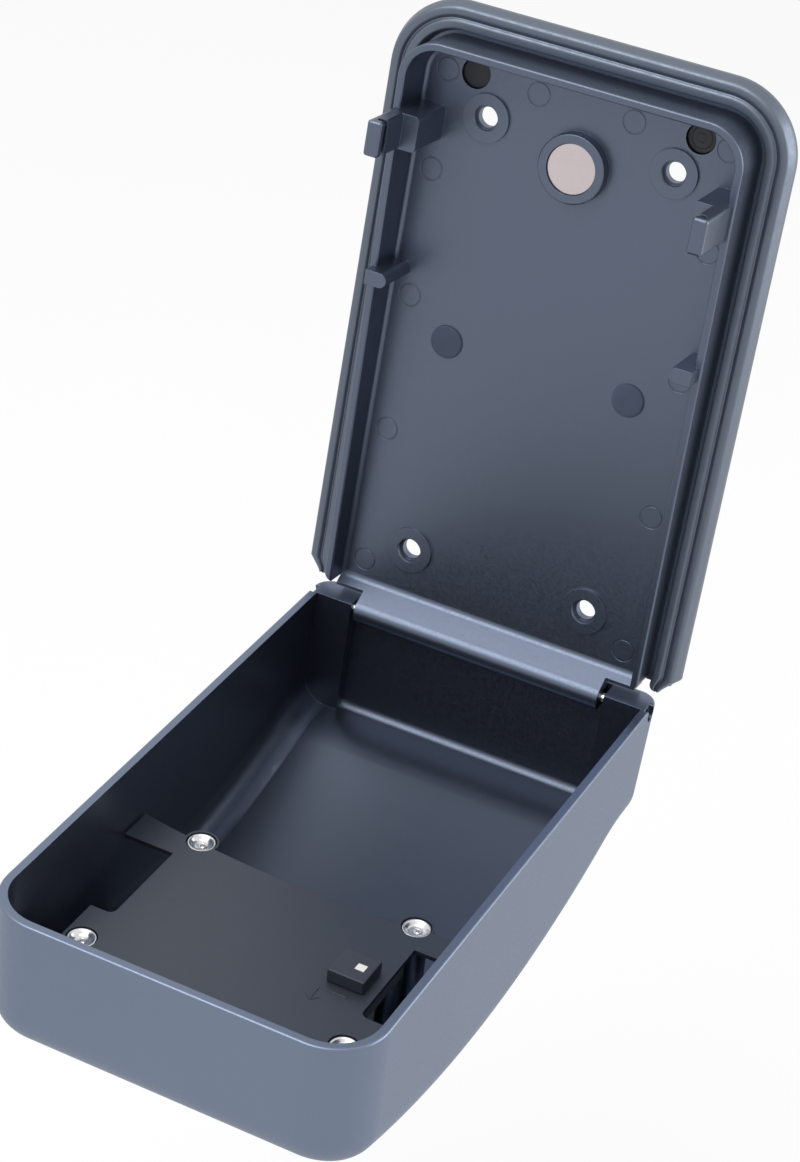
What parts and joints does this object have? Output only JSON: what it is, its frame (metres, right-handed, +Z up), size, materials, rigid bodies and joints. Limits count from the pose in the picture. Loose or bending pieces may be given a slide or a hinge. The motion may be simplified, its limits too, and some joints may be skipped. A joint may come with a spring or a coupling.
{
  "type": "wall key box",
  "caption": "Wall-mounted key box shown open: crowned front shell swung down on a bottom hinge, back plate with key magnet, latch hooks and weather seal, push-button keypad.",
  "frame": {"origin": "centre of the four wall screw holes, on the back face of the wall plate", "axes": "+Z up the plate, +Y into the wall, +X to the right as seen from the front"},
  "size_m": [0.114, 0.1776, 0.25],
  "materials": {
    "plate": "satin powder coat",
    "seal_rubber": "matte",
    "magnet": "bright nickel plate",
    "bumper_rubber": "matte",
    "plug_plastic": "satin",
    "shell": "satin powder coat",
    "pin_steel": "turned",
    "cover": "satin powder coat",
    "screw_steel": "bright zinc plate",
    "slide_plastic": "satin",
    "mark_white": "smooth",
    "fascia_plastic": "fine texture",
    "button_metal": "satin",
    "spring_steel": "drawn wire",
    "lock_zinc": "die cast",
    "latch_steel": "stamped",
    "knob_metal": "satin powder coat"
  },
  "bodies": {
    "wall_plate": {"back_plate": "plate", "weather_seal": "seal_rubber", "key_magnet": "magnet", "rubber_bumpers": "bumper_rubber", "corner_plugs": "plug_plastic"},
    "shell": {"front_shell": "shell", "hinge_pin": "pin_steel", "lock_cover_plate": "cover", "cover_screws": "screw_steel", "keypad_fascia": "fascia_plastic", "lock_body": "lock_zinc", "lock_screws": "screw_steel", "button_springs": "spring_steel"},
    "code_slide": {"code_change_slide": "slide_plastic", "slide_mark": "mark_white"},
    "knob": {"turn_knob": "knob_metal", "knob_spindle": "pin_steel", "latch_cam": "latch_steel", "spindle_clip": "spring_steel"},
    "right_bolt": {"latch_bolt_right": "latch_steel"},
    "left_bolt": {"latch_bolt_left": "latch_steel"},
    "clear_key": {"clear_button": "button_metal"},
    "digit_1": {"button_1": "button_metal"},
    "digit_2": {"button_2": "button_metal"},
    "digit_3": {"button_3": "button_metal"},
    "digit_4": {"button_4": "button_metal"},
    "digit_5": {"button_5": "button_metal"},
    "digit_6": {"button_6": "button_metal"},
    "digit_7": {"button_7": "button_metal"},
    "digit_8": {"button_8": "button_metal"},
    "digit_9": {"button_9": "button_metal"},
    "digit_0": {"button_0": "button_metal"}
  },
  "joints": [
    {"name": "shell_hinge", "type": "hinge", "parent": "wall_plate", "child": "shell", "pos_m": [0, -0.0071, -0.0842], "axis": [1, 0, 0], "range_deg": [-97.7, 0]},
    {"name": "knob_turn", "type": "hinge", "parent": "shell", "child": "knob", "pos_m": [0, -0.13999, -0.15071], "axis": [0, -0.134, 0.991], "range_deg": [0, 45]},
    {"name": "right_bolt_slide", "type": "slide", "parent": "shell", "child": "right_bolt", "axis": [1, 0, 0], "range_m": [0, 0.0038]},
    {"name": "left_bolt_slide", "type": "slide", "parent": "shell", "child": "left_bolt", "axis": [-1, 0, 0], "range_m": [0, 0.0039]},
    {"name": "code_slide_move", "type": "slide", "parent": "shell", "child": "code_slide", "axis": [-1, 0, 0], "range_m": [0, 0.003]},
    {"name": "press_1", "type": "slide", "parent": "shell", "child": "digit_1", "axis": [0, -0.134, 0.991], "range_m": [0, 0.002], "stiffness_N_per_m": 300, "springref_m": -0.001},
    {"name": "press_2", "type": "slide", "parent": "shell", "child": "digit_2", "axis": [0, -0.134, 0.991], "range_m": [0, 0.002], "stiffness_N_per_m": 300, "springref_m": -0.001},
    {"name": "press_3", "type": "slide", "parent": "shell", "child": "digit_3", "axis": [0, -0.134, 0.991], "range_m": [0, 0.002], "stiffness_N_per_m": 300, "springref_m": -0.001},
    {"name": "press_4", "type": "slide", "parent": "shell", "child": "digit_4", "axis": [0, -0.134, 0.991], "range_m": [0, 0.002], "stiffness_N_per_m": 300, "springref_m": -0.001},
    {"name": "press_5", "type": "slide", "parent": "shell", "child": "digit_5", "axis": [0, -0.134, 0.991], "range_m": [0, 0.002], "stiffness_N_per_m": 300, "springref_m": -0.001},
    {"name": "press_6", "type": "slide", "parent": "shell", "child": "digit_6", "axis": [0, -0.134, 0.991], "range_m": [0, 0.002], "stiffness_N_per_m": 300, "springref_m": -0.001},
    {"name": "press_7", "type": "slide", "parent": "shell", "child": "digit_7", "axis": [0, -0.134, 0.991], "range_m": [0, 0.002], "stiffness_N_per_m": 300, "springref_m": -0.001},
    {"name": "press_8", "type": "slide", "parent": "shell", "child": "digit_8", "axis": [0, -0.134, 0.991], "range_m": [0, 0.002], "stiffness_N_per_m": 300, "springref_m": -0.001},
    {"name": "press_9", "type": "slide", "parent": "shell", "child": "digit_9", "axis": [0, -0.134, 0.991], "range_m": [0, 0.002], "stiffness_N_per_m": 300, "springref_m": -0.001},
    {"name": "press_0", "type": "slide", "parent": "shell", "child": "digit_0", "axis": [0, -0.134, 0.991], "range_m": [0, 0.002], "stiffness_N_per_m": 300, "springref_m": -0.001},
    {"name": "press_clear", "type": "slide", "parent": "shell", "child": "clear_key", "axis": [0, -0.134, 0.991], "range_m": [0, 0.002], "stiffness_N_per_m": 300, "springref_m": -0.001}
  ],
  "couplings": [
    {"joint": "knob_turn", "follows": "right_bolt_slide", "rad_per_m": 205.25},
    {"joint": "left_bolt_slide", "follows": "right_bolt_slide", "ratio": 1}
  ]
}
